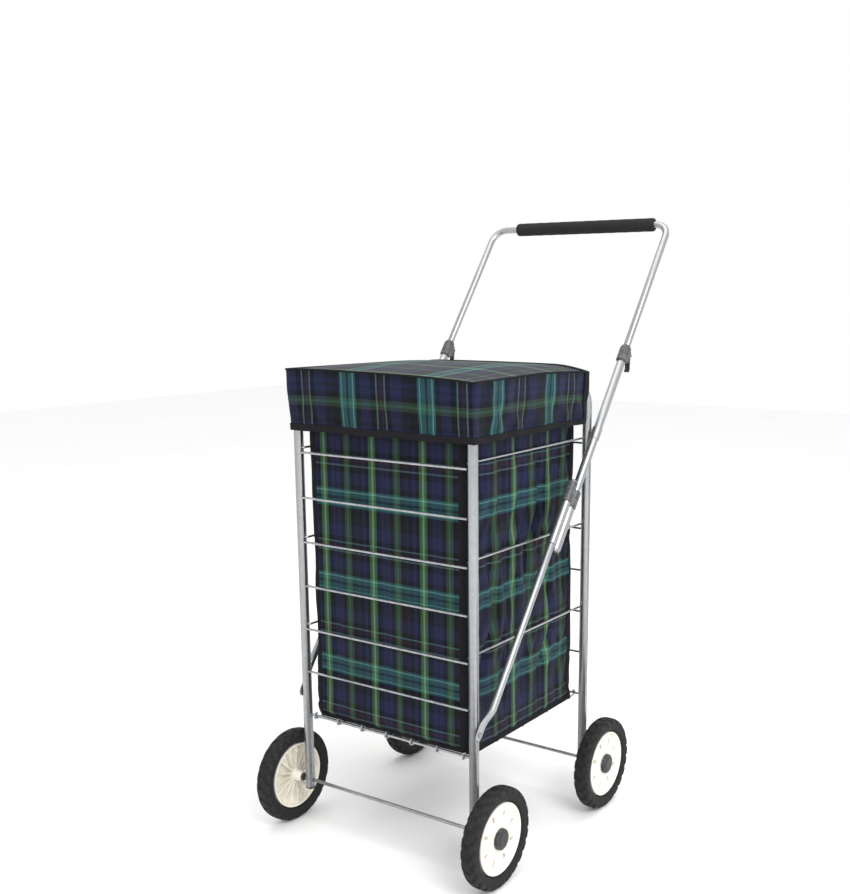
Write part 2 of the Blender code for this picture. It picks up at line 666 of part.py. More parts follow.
def build():
    for name, y in (("front", FRONT_Y), ("rear", REAR_Y)):
        hoop(name + "_hoop", y)
        axle(name + "_axle", y)
        for side_name, side in SIDES.items():
            wheel(f"{name}_{side_name}", side, y)
    hoop_wires()
    base_grid()
    for side_name, side in SIDES.items():
        for number in range(1, LINK_COUNT + 1):
            side_link(f"side_wire_{side_name}_{number}", side, link_height(number))
        strut("strut_" + side_name, side)
        strut_rivet("strut_rivet_" + side_name, side)
        finish(cradle(side, SLEEVE_LOW, SLEEVE_HIGH, SLEEVE_RADIUS, 0.0014, 0.0002), "sleeve_" + side_name, "silver")
        finish(cradle(side, GUIDE_LOW, GUIDE_HIGH, GUIDE_RADIUS, 0.0024, 0.004), "guide_" + side_name, "plastic_black")
        handle_tube("handle_tube_" + side_name, side)
        handle_collar("handle_collar_" + side_name, side)
        clamp("clamp_" + side_name, side)
        clamp_lever("clamp_lever_" + side_name, side)
    handle_upper()
    grip()
    bag()
    lid()


clear_scene()
PARTS = collection("shopping_trolley")
CUTTERS = collection("cutters", hidden=True)
build()
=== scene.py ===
"""The looks of a four-wheel shopping trolley: silver tube and wire cage, tartan bag with a lid,
telescopic handle with a foam grip, and off-white wheels with rubber tyres. Metres, +Z up."""

import json
import math

import bmesh
import bpy
from mathutils import Matrix, Vector

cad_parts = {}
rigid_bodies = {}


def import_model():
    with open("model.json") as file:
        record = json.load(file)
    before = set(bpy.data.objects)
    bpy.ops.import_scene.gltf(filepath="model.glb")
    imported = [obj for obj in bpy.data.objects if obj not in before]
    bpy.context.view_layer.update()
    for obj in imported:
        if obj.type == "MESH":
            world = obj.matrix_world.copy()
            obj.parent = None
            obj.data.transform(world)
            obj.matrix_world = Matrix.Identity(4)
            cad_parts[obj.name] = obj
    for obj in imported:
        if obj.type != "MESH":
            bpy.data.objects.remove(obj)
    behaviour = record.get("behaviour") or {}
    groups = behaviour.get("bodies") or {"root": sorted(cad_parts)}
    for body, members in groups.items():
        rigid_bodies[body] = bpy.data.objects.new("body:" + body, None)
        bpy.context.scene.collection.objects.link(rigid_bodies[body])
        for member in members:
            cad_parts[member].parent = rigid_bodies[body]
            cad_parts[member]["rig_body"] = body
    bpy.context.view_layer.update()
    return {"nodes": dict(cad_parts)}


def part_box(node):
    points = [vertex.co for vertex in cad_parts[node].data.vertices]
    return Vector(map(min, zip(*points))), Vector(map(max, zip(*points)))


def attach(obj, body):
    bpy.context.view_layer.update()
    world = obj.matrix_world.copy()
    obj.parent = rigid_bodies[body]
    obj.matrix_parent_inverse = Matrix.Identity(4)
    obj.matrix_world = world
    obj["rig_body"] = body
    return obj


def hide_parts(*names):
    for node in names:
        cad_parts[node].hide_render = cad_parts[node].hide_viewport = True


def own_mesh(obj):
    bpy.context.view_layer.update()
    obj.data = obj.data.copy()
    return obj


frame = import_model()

X, Y, Z = Vector((1, 0, 0)), Vector((0, 1, 0)), Vector((0, 0, 1))
SIDES = {"left": -1, "right": 1}


# ---------------------------------------------------------------- places, read from the frame

def middle_of(node):
    low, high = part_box(node)
    return (Vector(low) + Vector(high)) / 2


def size_of(node):
    low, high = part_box(node)
    return Vector(high) - Vector(low)


FRONT_Y = middle_of("front_axle").y
REAR_Y = middle_of("rear_axle").y
AXLE_Z = middle_of("front_axle").z
LEG_X = middle_of("strut_rivet_right").x - size_of("strut_rivet_right").x / 2 - 0.002
LEG_RADIUS = size_of("rear_hoop").y / 2
PIVOT = Vector((0, REAR_Y, middle_of("handle_collar_right").z))
HANDLE_X = middle_of("handle_tube_right").x
TUBE_RADIUS = size_of("handle_tube_right").x / 2
STRUT_RADIUS = 0.0062
STRUT_OFFSET = TUBE_RADIUS + STRUT_RADIUS + 0.0033
LEAN = math.radians(37)
ALONG = Vector((0, math.sin(LEAN), math.cos(LEAN)))
UPWARD = Vector((0, -math.cos(LEAN), math.sin(LEAN)))
WHEEL_RADIUS = AXLE_Z
RIM_RADIUS = size_of("rim_front_right").z / 2
WHEEL_X = middle_of("tyre_front_right").x
SLIDE_FIT = 0.0002


def on_handle(side, s, upward=0.0, outward=0.0):
    """A point at distance s along the handle from the pins it turns on."""
    return Vector((side * (HANDLE_X + outward), 0, 0)) + PIVOT + s * ALONG + upward * UPWARD


# ---------------------------------------------------------------- bench tools

def let_go():
    bpy.ops.object.select_all(action="DESELECT")


def take(piece):
    let_go()
    piece.select_set(True)
    bpy.context.view_layer.objects.active = piece


def open_up(piece):
    take(piece)
    bpy.ops.object.mode_set(mode="EDIT")


def close_up():
    bpy.ops.object.mode_set(mode="OBJECT")


def pick(piece, kind, test):
    """In edit mode, selects the faces, edges or corners that pass the test."""
    bpy.ops.mesh.select_mode(type=kind)
    bpy.ops.mesh.select_all(action="DESELECT")
    mesh = bmesh.from_edit_mesh(piece.data)
    for found in {"FACE": mesh.faces, "EDGE": mesh.edges, "VERT": mesh.verts}[kind]:
        if test(found):
            found.select_set(True)
    mesh.select_flush_mode()
    bmesh.update_edit_mesh(piece.data)


def newest(name):
    piece = bpy.context.object
    piece.name = piece.data.name = name
    return piece


def settle(piece):
    take(piece)
    bpy.ops.object.transform_apply(location=True, rotation=True, scale=True)
    return piece


def stand(piece, place, direction):
    """Turns the piece's own Z along the direction and puts it at the place."""
    turn = Z.rotation_difference(Vector(direction))
    piece.matrix_world = Matrix.Translation(place) @ turn.to_matrix().to_4x4() @ piece.matrix_world
    return settle(piece)


def apply_modifier(piece, modifier):
    take(piece)
    bpy.ops.object.modifier_apply(modifier=modifier.name)


def soften_edges(piece, width, segments=2, angle=40):
    """Rounds the piece's sharp edges a little, as moulded and pressed parts are."""
    bevel = piece.modifiers.new("edges", "BEVEL")
    bevel.width = width
    bevel.segments = segments
    bevel.limit_method = "ANGLE"
    bevel.angle_limit = math.radians(angle)
    bevel.use_clamp_overlap = True
    apply_modifier(piece, bevel)


def smooth(piece, angle=35):
    take(piece)
    bpy.ops.object.shade_smooth_by_angle(angle=math.radians(angle))


def cut(piece, cutter, operation="DIFFERENCE"):
    boolean = piece.modifiers.new("cut", "BOOLEAN")
    boolean.operation = operation
    boolean.solver = "EXACT"
    boolean.object = cutter
    apply_modifier(piece, boolean)
    bpy.data.objects.remove(cutter, do_unlink=True)


def join(pieces):
    take(pieces[0])
    for piece in pieces[1:]:
        piece.select_set(True)
    bpy.ops.object.join()
    return bpy.context.object


def copy_of(piece, name):
    take(piece)
    bpy.ops.object.duplicate()
    return newest(name)


def finished(piece, material, body, replaces=()):
    """Gives the piece its finish, says which body it moves with, and hides the frame parts it replaces."""
    piece.data.materials.clear()
    piece.data.materials.append(material)
    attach(piece, body)
    if replaces:
        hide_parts(*replaces)
    return piece


def spin_round(steps):
    """In edit mode, turns the open piece's outline once about its own Z and welds where it closes."""
    bpy.ops.mesh.select_all(action="SELECT")
    bpy.ops.mesh.spin(steps=steps, angle=2 * math.pi, center=(0, 0, 0), axis=(0, 0, 1))
    bpy.ops.mesh.select_all(action="SELECT")
    bpy.ops.mesh.remove_doubles(threshold=0.000002)


def lathe(name, profile, place, direction, steps=48):
    """Turns a closed profile of (radius, distance along the direction)."""
    bpy.ops.mesh.primitive_circle_add(vertices=len(profile), radius=0.01)
    piece = newest(name)
    for corner, (radius, along) in zip(piece.data.vertices, profile):
        corner.co = (radius, 0, along)
    open_up(piece)
    spin_round(steps)
    bpy.ops.mesh.delete_loose()
    bpy.ops.mesh.select_all(action="SELECT")
    bpy.ops.mesh.normals_make_consistent(inside=False)
    close_up()
    return stand(piece, place, direction)


def pipe(name, start, direction, length, inner, outer, round_off=0.0005, steps=32):
    """A tube with a wall, whose cut ends are slightly rounded."""
    r = round_off
    profile = [(inner, 0), (outer - r, 0), (outer, r),
               (outer, length - r), (outer - r, length), (inner, length)]
    return lathe(name, profile, start, direction, steps)


def rod(place, direction, length, radius, sides=24):
    bpy.ops.mesh.primitive_cylinder_add(vertices=sides, radius=radius, depth=length)
    return stand(newest("rod"), place, direction)


def block(place, size, turn=None):
    bpy.ops.mesh.primitive_cube_add(size=1)
    piece = newest("block")
    piece.matrix_world = (Matrix.Translation(place) @ (turn or Matrix.Identity(4))
                          @ Matrix.Diagonal((*size, 1)))
    return settle(piece)


LEANING = Matrix((X, UPWARD, ALONG)).transposed().to_4x4()


# ---------------------------------------------------------------- shared effects

def node(tree, kind, inputs=None, **settings):
    made = tree.nodes.new(kind)
    for name, value in settings.items():
        setattr(made, name, value)
    for name, value in (inputs or {}).items():
        if isinstance(value, bpy.types.NodeSocket):
            tree.links.new(value, made.inputs[name])
        else:
            made.inputs[name].default_value = value
    return made


def maths(tree, operation, first, second=0.0, clamp=False):
    made = node(tree, "ShaderNodeMath", {0: first, 1: second}, operation=operation, use_clamp=clamp)
    return made.outputs[0]


def mixed(tree, factor, first, second):
    """Mixes two colours: inputs 0, 6 and 7 are the colour mixer's factor and its two colours."""
    return node(tree, "ShaderNodeMix", {0: factor, 6: first, 7: second}, data_type="RGBA").outputs[2]


def between(tree, value, low, high):
    """Stretches 0..1 to low..high."""
    made = node(tree, "ShaderNodeMapRange", {"Value": value, "To Min": low, "To Max": high})
    return made.outputs["Result"]


def stretched(tree, value, low, high):
    """Stretches low..high to 0..1."""
    made = node(tree, "ShaderNodeMapRange", {"Value": value, "From Min": low, "From Max": high})
    return made.outputs["Result"]


def colour(red, green, blue):
    """A colour given as 0..255, as the shader wants it."""
    def linear(c):
        c /= 255
        return c / 12.92 if c <= 0.04045 else ((c + 0.055) / 1.055) ** 2.4
    return (linear(red), linear(green), linear(blue), 1)


def effect(name, inputs, outputs):
    tree = bpy.data.node_groups.new(name, "ShaderNodeTree")
    for label, kind, value in inputs:
        socket = tree.interface.new_socket(label, in_out="INPUT", socket_type="NodeSocket" + kind)
        if value is not None:
            socket.default_value = value
    for label, kind in outputs:
        tree.interface.new_socket(label, in_out="OUTPUT", socket_type="NodeSocket" + kind)
    return tree, tree.nodes.new("NodeGroupInput").outputs, tree.nodes.new("NodeGroupOutput").inputs


def grain_effect():
    """Fine even grain over soft larger clouds, from 0 to 1."""
    tree, given, result = effect(
        "fine grain", [("Vector", "Vector", None), ("Scale", "Float", 400.0)],
        [("Grain", "Float"), ("Clouds", "Float")])
    broad_scale = maths(tree, "MULTIPLY", given["Scale"], 0.05)
    for label, scale, detail in (("Grain", given["Scale"], 3.0), ("Clouds", broad_scale, 2.0)):
        noise = node(tree, "ShaderNodeTexNoise", {"Vector": given["Vector"], "Scale": scale, "Detail": detail})
        tree.links.new(noise.outputs["Fac"], result[label])
    return tree


def wear_effect():
    """Where hands and knocks rub the edges: a mask from 0 to 1."""
    tree, given, result = effect(
        "edge wear", [("Vector", "Vector", None), ("Scale", "Float", 120.0), ("Amount", "Float", 0.5)],
        [("Wear", "Float")])
    edges = node(tree, "ShaderNodeNewGeometry").outputs["Pointiness"]
    raised = stretched(tree, edges, 0.52, 0.62)
    patches = node(tree, "ShaderNodeTexNoise",
                   {"Vector": given["Vector"], "Scale": given["Scale"], "Detail": 4.0})
    broken = stretched(tree, patches.outputs["Fac"], 0.42, 0.62)
    rubbed = maths(tree, "MULTIPLY", raised, broken)
    tree.links.new(maths(tree, "MULTIPLY", rubbed, given["Amount"], clamp=True), result["Wear"])
    return tree


def weave_effect():
    """Twill: diagonal ribs of thread. The vector is in metres of cloth."""
    tree, given, result = effect(
        "twill weave", [("Vector", "Vector", None), ("Threads", "Float", 900.0)],
        [("Height", "Float"), ("Over", "Float")])
    parts = node(tree, "ShaderNodeSeparateXYZ", {0: given["Vector"]}).outputs
    across = maths(tree, "MULTIPLY", parts[0], given["Threads"])
    up = maths(tree, "MULTIPLY", parts[1], given["Threads"])
    diagonal = maths(tree, "SINE", maths(tree, "MULTIPLY", maths(tree, "ADD", across, up), math.pi))
    warp, weft = (
        maths(tree, "ABSOLUTE", maths(tree, "SINE", maths(tree, "MULTIPLY", threads_along, 2 * math.pi)))
        for threads_along in (across, up))
    over = maths(tree, "MULTIPLY", maths(tree, "ADD", diagonal, 1.0), 0.5)
    threads = maths(tree, "MULTIPLY", maths(tree, "ADD", warp, weft), 0.25)
    tree.links.new(maths(tree, "ADD", maths(tree, "MULTIPLY", over, 0.5), threads), result["Height"])
    tree.links.new(over, result["Over"])
    return tree


NAVY, INK, BLACK = colour(27, 31, 60), colour(14, 19, 29), colour(7, 10, 14)
GREEN, PALE_GREEN, OLIVE = colour(52, 92, 62), colour(88, 130, 88), colour(48, 64, 42)
TEAL, PALE_TEAL, DARK_TEAL = colour(38, 82, 84), colour(88, 136, 134), colour(20, 42, 48)
GREY_TEAL, MAROON, YELLOW_GREEN = colour(72, 92, 98), colour(42, 22, 34), colour(128, 138, 80)

# The stripes of one repeat of the cloth, each (where it starts, from 0 to 1, colour)
UPRIGHT_STRIPES = [
    (0.00, GREEN), (0.05, PALE_GREEN), (0.06, YELLOW_GREEN), (0.08, PALE_GREEN), (0.09, GREEN),
    (0.14, BLACK), (0.19, INK), (0.24, NAVY), (0.32, INK), (0.34, NAVY), (0.42, INK), (0.46, BLACK),
    (0.50, OLIVE), (0.545, GREEN), (0.58, OLIVE), (0.63, BLACK), (0.69, INK), (0.75, MAROON),
    (0.77, INK), (0.81, BLACK), (0.87, NAVY), (0.93, BLACK)]
LEVEL_STRIPES = [
    (0.00, TEAL), (0.02, PALE_TEAL), (0.035, TEAL), (0.09, DARK_TEAL), (0.12, TEAL), (0.17, PALE_TEAL),
    (0.185, TEAL), (0.21, INK), (0.27, NAVY), (0.40, BLACK), (0.47, GREY_TEAL), (0.49, INK),
    (0.53, MAROON), (0.56, INK), (0.58, GREY_TEAL), (0.60, BLACK), (0.66, NAVY), (0.80, INK), (0.90, BLACK)]
# Metres of cloth to one repeat
UPRIGHT_REPEAT, LEVEL_REPEAT = 0.102, 0.1435


def stripes(tree, along, repeat, colours):
    ramp = node(tree, "ShaderNodeValToRGB",
                {"Fac": maths(tree, "FRACT", maths(tree, "DIVIDE", along, repeat))})
    ramp.color_ramp.interpolation = "CONSTANT"
    elements = ramp.color_ramp.elements
    while len(elements) > 1:
        elements.remove(elements[-1])
    elements[0].position, elements[0].color = colours[0]
    for start, shade in colours[1:]:
        elements.new(start).color = shade
    return ramp.outputs["Color"]


def tartan_effect():
    """Dark tartan: upright and level stripes that cross as threads do. The vector is in metres."""
    tree, given, result = effect(
        "tartan", [("Vector", "Vector", None), ("Over", "Float", 0.5), ("Level share", "Float", 0.5)],
        [("Color", "Color")])
    parts = node(tree, "ShaderNodeSeparateXYZ", {0: given["Vector"]}).outputs
    upright = stripes(tree, parts[0], UPRIGHT_REPEAT, UPRIGHT_STRIPES)
    level = stripes(tree, parts[1], LEVEL_REPEAT, LEVEL_STRIPES)
    share = maths(tree, "ADD", given["Level share"], between(tree, given["Over"], -0.16, 0.16), clamp=True)
    tree.links.new(mixed(tree, share, upright, level), result["Color"])
    return tree


GRAIN, WEAR, WEAVE, TARTAN = grain_effect(), wear_effect(), weave_effect(), tartan_effect()


# ---------------------------------------------------------------- finishes

def finish_of(name, roughness, metallic=0.0, **sockets):
    """A material and its shader, with the values that are the same all over."""
    material = bpy.data.materials.new(name)
    material.use_nodes = True
    shader = material.node_tree.nodes["Principled BSDF"]
    shader.inputs["Roughness"].default_value = roughness
    shader.inputs["Metallic"].default_value = metallic
    for label, value in sockets.items():
        shader.inputs[label.replace("_", " ")].default_value = value
    return material, material.node_tree, shader.inputs


def place(tree, uv=False):
    coordinates = node(tree, "ShaderNodeTexCoord")
    return coordinates.outputs["UV" if uv else "Object"]


def use(tree, group, inputs):
    return node(tree, "ShaderNodeGroup", inputs, node_tree=group).outputs


def bump(tree, shader, height, distance, strength=1.0):
    made = node(tree, "ShaderNodeBump", {"Height": height, "Distance": distance, "Strength": strength})
    tree.links.new(made.outputs["Normal"], shader["Normal"])


def metal(name, light, dark, roughness, metallic, scale, wear, dent=0.00004):
    """Drawn tube or wire: clouded brightness, fine grain, and dull marks along worn edges."""
    material, tree, shader = finish_of(name, roughness, metallic)
    spot = place(tree)
    grain = use(tree, GRAIN, {"Vector": spot, "Scale": scale})
    worn = use(tree, WEAR, {"Vector": spot, "Scale": scale * 0.3, "Amount": wear})
    base = mixed(tree, grain["Clouds"], light, dark)
    tree.links.new(mixed(tree, worn["Wear"], base, colour(96, 96, 96)), shader["Base Color"])
    rough = between(tree, grain["Grain"], roughness - 0.03, roughness + 0.05)
    tree.links.new(maths(tree, "ADD", rough, maths(tree, "MULTIPLY", worn["Wear"], 0.2)), shader["Roughness"])
    bump(tree, shader, grain["Grain"], dent)
    return material


def plastic(name, light, dark, roughness, scale, wear, dent, rubbed=(150, 150, 150)):
    """Moulded plastic: fine spark texture, and paler rubbed edges."""
    material, tree, shader = finish_of(name, roughness)
    spot = place(tree)
    grain = use(tree, GRAIN, {"Vector": spot, "Scale": scale})
    worn = use(tree, WEAR, {"Vector": spot, "Scale": scale * 0.2, "Amount": wear})
    base = mixed(tree, grain["Clouds"], light, dark)
    tree.links.new(mixed(tree, worn["Wear"], base, colour(*rubbed)), shader["Base Color"])
    tree.links.new(between(tree, grain["Grain"], roughness - 0.07, roughness + 0.07), shader["Roughness"])
    bump(tree, shader, grain["Grain"], dent)
    return material


def tyre_rubber():
    material, tree, shader = finish_of("tyre_rubber", 0.62, Specular_IOR_Level=0.15)
    spot = place(tree)
    grain = use(tree, GRAIN, {"Vector": spot, "Scale": 700.0})
    worn = use(tree, WEAR, {"Vector": spot, "Scale": 160.0, "Amount": 0.5})
    base = mixed(tree, grain["Clouds"], colour(30, 29, 30), colour(44, 43, 43))
    tree.links.new(mixed(tree, worn["Wear"], base, colour(74, 73, 71)), shader["Base Color"])
    tree.links.new(between(tree, grain["Clouds"], 0.5, 0.78), shader["Roughness"])
    bump(tree, shader, grain["Grain"], 0.0001)
    return material


def grip_foam():
    """Closed-cell foam: tiny open cells in a matt skin, with painted shade darkening the cells."""
    material, tree, shader = finish_of(
        "grip_foam", 0.9, Specular_IOR_Level=0.15, Sheen_Weight=0.01, Sheen_Roughness=0.5)
    spot = place(tree)
    cells = node(tree, "ShaderNodeTexVoronoi", {"Vector": spot, "Scale": 1500.0})
    grain = use(tree, GRAIN, {"Vector": spot, "Scale": 600.0})
    shade = mixed(tree, grain["Clouds"], colour(34, 34, 35), colour(46, 46, 46))
    pits = stretched(tree, cells.outputs["Distance"], 0.0, 0.5)
    # Painted shade: the cells are painted darker towards their middles, where the bump makes them sink.
    tree.links.new(mixed(tree, between(tree, pits, 0.25, 0.0), shade, BLACK), shader["Base Color"])
    bump(tree, shader, pits, 0.0003, 0.7)
    return material


def tartan_cloth(name, quarter_turn):
    """Woven tartan on the cloth's own map, which is in metres. The lid's cloth lies crossways."""
    material, tree, shader = finish_of(
        name, 0.5, Specular_IOR_Level=0.10, Sheen_Weight=0.01, Sheen_Roughness=0.4)
    laid = node(tree, "ShaderNodeMapping", {
        "Vector": place(tree, uv=True),
        "Rotation": (0.0, 0.0, math.pi / 2 if quarter_turn else 0.0),
        "Scale": (0.93, 0.93, 1.0) if quarter_turn else (1.0, 1.0, 1.0)})
    weave = use(tree, WEAVE, {"Vector": laid.outputs["Vector"], "Threads": 620.0})
    pattern = use(tree, TARTAN, {"Vector": laid.outputs["Vector"], "Over": weave["Over"],
                                 "Level share": 0.60 if quarter_turn else 0.46})
    grain = use(tree, GRAIN, {"Vector": laid.outputs["Vector"], "Scale": 900.0})
    faded = mixed(tree, between(tree, grain["Clouds"], 0.0, 0.04), pattern["Color"], colour(60, 64, 72))
    tree.links.new(faded, shader["Base Color"])
    tree.links.new(between(tree, grain["Grain"], 0.40, 0.60), shader["Roughness"])
    bump(tree, shader, weave["Height"], 0.00015, 0.5)
    return material


def binding_tape(name, shade, other):
    """Ribbed woven tape, on Object coordinates because it runs every way. Its rib crests are painted lighter
    and its grooves darker, as painted light and shade.
    """
    material, tree, shader = finish_of(
        name, 0.75, Specular_IOR_Level=0.08, Sheen_Weight=0.01, Sheen_Roughness=0.5)
    spot = place(tree)
    ribs = node(tree, "ShaderNodeTexWave", {"Vector": spot, "Scale": 260.0, "Distortion": 0.6},
                bands_direction="DIAGONAL")
    grain = use(tree, GRAIN, {"Vector": spot, "Scale": 900.0})
    # Painted light and shade: the colour follows the rib height, lighter on the crests and darker in the
    # grooves.
    tree.links.new(mixed(tree, ribs.outputs["Fac"], shade, other), shader["Base Color"])
    tree.links.new(between(tree, grain["Grain"], 0.62, 0.85), shader["Roughness"])
    bump(tree, shader, ribs.outputs["Fac"], 0.0002, 0.6)
    return material


SILVER = metal("silver_tube", colour(172, 174, 176), colour(166, 168, 170), 0.33, 0.92, 500.0, 0.2, 0.00001)
WIRE = metal("bright_wire", colour(192, 194, 197), colour(168, 170, 174), 0.26, 0.95, 500.0, 0.3, 0.00002)
STEEL = metal("zinc_steel", colour(176, 177, 178), colour(140, 141, 144), 0.34, 1.0, 500.0, 0.5)
RIM_PLASTIC = plastic("rim_plastic", colour(240, 237, 228), colour(228, 223, 208), 0.42, 500.0, 0.25, 0.00005,
                      rubbed=(196, 190, 176))
BLACK_PLASTIC = plastic("black_plastic", colour(26, 26, 28), colour(40, 40, 42), 0.42, 700.0, 0.6, 0.00008,
                        rubbed=(120, 120, 122))
GREY_PLASTIC = plastic("grey_plastic", colour(56, 57, 59), colour(74, 75, 77), 0.38, 700.0, 0.5, 0.00008,
                       rubbed=(140, 140, 142))
BOARD = plastic("base_board", colour(62, 62, 64), colour(78, 78, 80), 0.7, 300.0, 0.4, 0.0002)
RUBBER, FOAM = tyre_rubber(), grip_foam()
BAG_CLOTH = tartan_cloth("bag_tartan", False)
LID_CLOTH = tartan_cloth("lid_tartan", True)
TAPE = binding_tape("black_binding", colour(20, 20, 22), colour(34, 34, 37))


# ---------------------------------------------------------------- parts kept from the frame

def polished(node_name, material, round_off=0.0):
    """A copy of a metal or plastic part with its facets smoothed and its edges broken."""
    original = frame["nodes"][node_name]
    piece = copy_of(original, node_name + "_finished")
    piece.parent = None
    for key in list(piece.keys()):
        if key.startswith("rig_"):
            del piece[key]
    open_up(piece)
    bpy.ops.mesh.select_all(action="SELECT")
    bpy.ops.mesh.remove_doubles(threshold=0.00001)
    close_up()
    if round_off:
        soften_edges(piece, round_off)
    smooth(piece)
    return finished(piece, material, original["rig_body"], [node_name])


# ---------------------------------------------------------------- wheels

def tyre():
    """A solid tyre whose tread is cut into small staggered blocks."""
    steps, corners = 72, 28
    half_width, low, high = 0.0134, RIM_RADIUS + 0.0003, WHEEL_RADIUS - 0.0014
    fuller = 0.62  # below 1, the section is squarer than an ellipse
    block_height = 0.0011
    bpy.ops.mesh.primitive_circle_add(vertices=corners, radius=0.01)
    piece = newest("tyre_front_right_rubber")
    for number, corner in enumerate(piece.data.vertices):
        angle = 2 * math.pi * number / corners
        c, s = math.cos(angle), math.sin(angle)
        across = half_width * math.copysign(abs(c) ** fuller, c)
        out = (low + high) / 2 + (high - low) / 2 * math.copysign(abs(s) ** fuller, s)
        pinch = 1 - 0.14 * max(0.0, -s)
        corner.co = (out, 0, across * pinch)
    open_up(piece)
    spin_round(steps)
    bpy.ops.mesh.normals_make_consistent(inside=False)

    def is_block(face):
        middle = face.calc_center_median()
        radius = math.hypot(middle.x, middle.y)
        turn = int(round(math.atan2(middle.y, middle.x) / (2 * math.pi) * steps - 0.5)) % steps
        if radius > WHEEL_RADIUS - 0.0030:
            row = 0 if abs(middle.z) < 0.0035 else 1
            return (turn + row) % 3 != 0
        if radius > WHEEL_RADIUS - 0.0085:
            return turn % 3 != 1
        return False

    pick(piece, "FACE", is_block)
    bpy.ops.mesh.extrude_region_shrink_fatten(
        TRANSFORM_OT_shrink_fatten={"value": block_height, "use_even_offset": False})
    close_up()
    soften_edges(piece, 0.0003, 1, 50)
    smooth(piece, 45)
    return piece


def rim():
    """A moulded disc: dished outside with eight leaf-shaped slots, ribbed inside round a long hub."""
    seat, bore = 0.0108, 0.0033
    profile = [
        (bore, -0.0225), (0.0078, -0.0225), (0.0085, -0.0218), (0.0100, -0.0110), (0.0135, 0.0018),
        (0.0200, 0.0030), (0.0360, 0.0028), (0.0470, 0.0016), (0.0522, -0.0015), (0.0548, -seat + 0.0004),
        (0.0556, -seat), (RIM_RADIUS - 0.0004, -seat), (RIM_RADIUS, -seat + 0.0004),
        (RIM_RADIUS, seat - 0.0004), (RIM_RADIUS - 0.0004, seat), (0.0556, seat), (0.0549, seat - 0.0006),
        (0.0528, 0.0066), (0.0500, 0.0060), (0.0360, 0.0068), (0.0230, 0.0078), (0.0210, 0.0080),
        (bore, 0.0080)]
    piece = lathe("rim_front_right_moulding", profile, (0, 0, 0), Z, 64)
    slots, slot_count, slot_radius = [], 8, 0.0385
    for number in range(slot_count):
        angle = 2 * math.pi * (number + 0.5) / slot_count
        way = Vector((math.cos(angle), math.sin(angle), 0))
        turn = Matrix.Rotation(angle, 4, "Z")
        bpy.ops.mesh.primitive_cylinder_add(vertices=20, radius=1, depth=0.03)
        slot = newest("slot")
        for corner in slot.data.vertices:
            # Narrower towards the hub
            corner.co.y *= 0.72 + 0.28 * corner.co.x
        leaf = Matrix.Diagonal((0.0066, 0.0046, 1, 1))
        slot.matrix_world = Matrix.Translation(way * slot_radius) @ turn @ leaf
        slots.append(settle(slot))
    cut(piece, join(slots))
    soften_edges(piece, 0.0004, 2, 50)
    ribs, rib_count, rib_start, rib_end = [], 16, 0.0095, 0.0540
    for number in range(rib_count):
        angle = 2 * math.pi * number / rib_count
        reach = rib_end - rib_start
        way = Vector((math.cos(angle), math.sin(angle), 0))
        rib = block(way * (rib_start + reach / 2) + Z * -0.0018, (reach, 0.0016, 0.0110),
                    Matrix.Rotation(angle, 4, "Z"))
        open_up(rib)
        # The rib is lowest in the middle of the dish
        pick(rib, "VERT", lambda v: v.co.z < -0.006 and v.co.xy.length > 0.03)
        bpy.ops.transform.translate(value=(0, 0, -0.0022))
        close_up()
        soften_edges(rib, 0.0004, 1)
        ribs.append(rib)
    piece = join([piece] + ribs)
    smooth(piece, 40)
    return piece


def hub_cap():
    profile = [(0, 0.0158), (0.0060, 0.0160), (0.0100, 0.0163), (0.0112, 0.0160), (0.0120, 0.0152),
               (0.0135, 0.0150), (0.0156, 0.0146), (0.0168, 0.0135), (0.0173, 0.0118), (0.0173, 0.0083),
               (0.0040, 0.0083), (0.0040, 0.0130), (0, 0.0130)]
    piece = lathe("hub_cap_front_right_moulding", profile, (0, 0, 0), Z, 48)
    smooth(piece, 30)
    return piece


def washer():
    piece = pipe("axle_washer_front_right", (0, 0, -0.0262), Z, 0.0030, 0.0032, 0.0070, 0.0004, 28)
    smooth(piece)
    return piece


def four_wheels():
    """Each part is made once, lying flat at the origin, then stood up at each corner."""
    made = [(tyre(), "tyre", RUBBER, "tyre_black", True), (rim(), "rim", RIM_PLASTIC, "rim_white", True),
            (hub_cap(), "hub_cap", BLACK_PLASTIC, "black_plastic", True),
            (washer(), "axle_washer", BLACK_PLASTIC, "black_plastic", False)]
    for pattern, part, material, slot, is_node in made:
        for end, y in (("front", FRONT_Y), ("rear", REAR_Y)):
            for side_name, side in SIDES.items():
                where = f"{end}_{side_name}"
                piece = copy_of(pattern, f"{part}_{where}_finished")
                turn = Matrix.Rotation(side * math.pi / 2, 4, "Y")
                piece.matrix_world = Matrix.Translation((side * WHEEL_X, y, AXLE_Z)) @ turn
                settle(piece)
                finished(piece, material, "wheel_" + where, [f"{part}_{where}"] if is_node else ())
        bpy.data.objects.remove(pattern, do_unlink=True)


# ---------------------------------------------------------------- handle

def double_barrel(name, side, low, high, handle_radius, strut_radius, low_strut, high_strut):
    """Two pipes side by side, one round the handle's tube and one for the strut, with a web between."""
    first = pipe(name, on_handle(side, low), ALONG, high - low, TUBE_RADIUS + SLIDE_FIT, handle_radius, 0.0007)
    second = pipe("second", on_handle(side, low_strut, STRUT_OFFSET), ALONG, high_strut - low_strut,
                  STRUT_RADIUS + SLIDE_FIT, strut_radius, 0.0007)
    middle_s = (low + high) / 2
    web = block(on_handle(side, middle_s, (TUBE_RADIUS + STRUT_OFFSET - STRUT_RADIUS) / 2 + 0.0001),
                (0.0070, 0.0026, high - low - 0.004), LEANING)
    soften_edges(web, 0.0006)
    piece = join([first, second, web])
    smooth(piece)
    return piece


